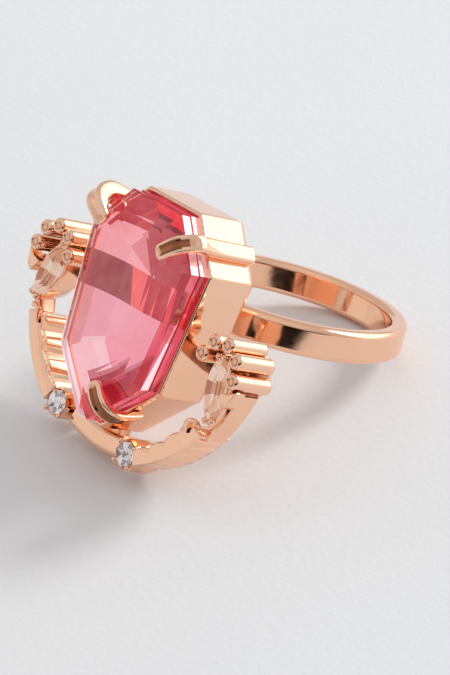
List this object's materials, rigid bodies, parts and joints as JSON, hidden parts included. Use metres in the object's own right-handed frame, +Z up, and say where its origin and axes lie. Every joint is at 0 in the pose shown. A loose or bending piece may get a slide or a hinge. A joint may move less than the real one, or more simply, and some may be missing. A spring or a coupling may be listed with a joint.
{
  "type": "cocktail ring",
  "caption": "Finger ring with a plain polished band, a large tapered step-cut crystal in a deep clawed collet, and a curved garland of rods, leaves and small crystals below it.",
  "frame": {"origin": "centre of the bounding box's foot, on the table that the ring rests on", "axes": "+Z up from the table, -Y the way the head faces, +X to the wearer's right of the stone as seen from the front"},
  "size_m": [0.0278, 0.031, 0.0204],
  "materials": {
    "rose_gold": "polished",
    "rose_crystal": "polished",
    "stone_foil": "mirror",
    "champagne_crystal": "polished",
    "clear_crystal": "polished"
  },
  "bodies": {
    "root": {"shank": "rose_gold", "head_saddle": "rose_gold", "collet_wall": "rose_gold", "collet_back_plate": "rose_gold", "stone_ledge": "rose_gold", "main_stone": "rose_crystal", "main_stone_foil": "stone_foil", "claw_upper_left": "rose_gold", "claw_upper_right": "rose_gold", "claw_lower": "rose_gold", "bottom_bridge": "rose_gold", "garland_link": "rose_gold", "side_strut_right": "rose_gold", "side_strut_left": "rose_gold", "garland_rail_right": "rose_gold", "garland_rail_left": "rose_gold", "rod_cluster_right": "rose_gold", "rod_cluster_left": "rose_gold", "marquise_cup_right": "rose_gold", "marquise_cup_left": "rose_gold", "marquise_stone_right": "champagne_crystal", "marquise_stone_left": "champagne_crystal", "v_claw_right": "rose_gold", "v_claw_left": "rose_gold", "leaf_right": "rose_gold", "leaf_left": "rose_gold", "round_cup_right": "rose_gold", "round_cup_left": "rose_gold", "round_stone_right": "clear_crystal", "round_stone_left": "clear_crystal"}
  },
  "joints": []
}
